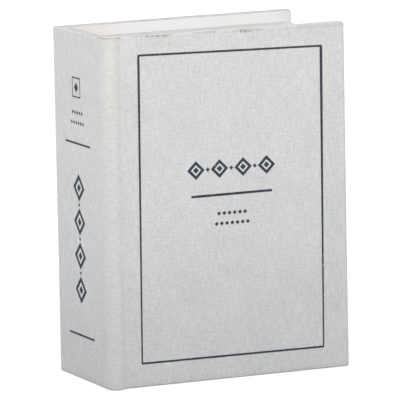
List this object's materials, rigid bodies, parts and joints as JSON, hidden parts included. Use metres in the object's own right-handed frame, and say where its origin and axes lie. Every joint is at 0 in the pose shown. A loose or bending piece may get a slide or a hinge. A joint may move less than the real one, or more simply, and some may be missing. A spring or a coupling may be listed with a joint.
{
  "type": "book box",
  "caption": "Storage box made like a thick cloth-bound book: a page-block tray between two covers, whose front cover opens on a cloth joint.",
  "frame": {"origin": "middle of the bounding box across width and depth, at the plane of the tail edges that it stands on", "axes": "+X from the spine to the fore-edge, +Y from the front cover to the back cover, +Z from tail to head"},
  "size_m": [0.18, 0.0888, 0.24],
  "materials": {
    "book_cloth": "pale grey linen book cloth, plain weave with slubs, worn along the head edges",
    "ink": "dark blue-grey print pressed into the cloth, broken by the weave",
    "board": "raw fibreboard",
    "lining_paper": "smooth white lining paper",
    "page_paper": "off-white paper with fine lines like page edges",
    "magnet": "nickel-plated"
  },
  "bodies": {
    "case": {"shoulder_core": "board", "spine_board": "board", "back_board": "board", "shoulder_cloth": "book_cloth", "spine_cloth": "book_cloth", "back_cloth": "book_cloth", "spine_liner": "lining_paper", "back_liner": "lining_paper", "tray_floor": "board", "tray_wall_spine": "board", "tray_wall_head": "board", "tray_wall_tail": "board", "tray_wall_fore": "board", "head_pages": "page_paper", "tail_pages": "page_paper", "fore_pages": "page_paper", "tray_rim_paper": "page_paper", "lining_floor": "lining_paper", "lining_spine": "lining_paper", "lining_head": "lining_paper", "lining_tail": "lining_paper", "lining_fore": "lining_paper", "tray_magnets": "magnet", "hinge_cloth": "book_cloth", "hinge_liner": "lining_paper", "spine_print": "ink"},
    "front_cover": {"front_board": "board", "front_cloth": "book_cloth", "front_liner": "lining_paper", "cover_magnets": "magnet", "cover_print": "ink"}
  },
  "joints": [
    {"name": "cover_hinge", "type": "hinge", "parent": "case", "child": "front_cover", "pos_m": [-0.0771, -0.0411, 0.12], "axis": [0, 0, -1], "range_deg": [0, 125], "deforming": ["hinge_cloth", "hinge_liner"]}
  ]
}
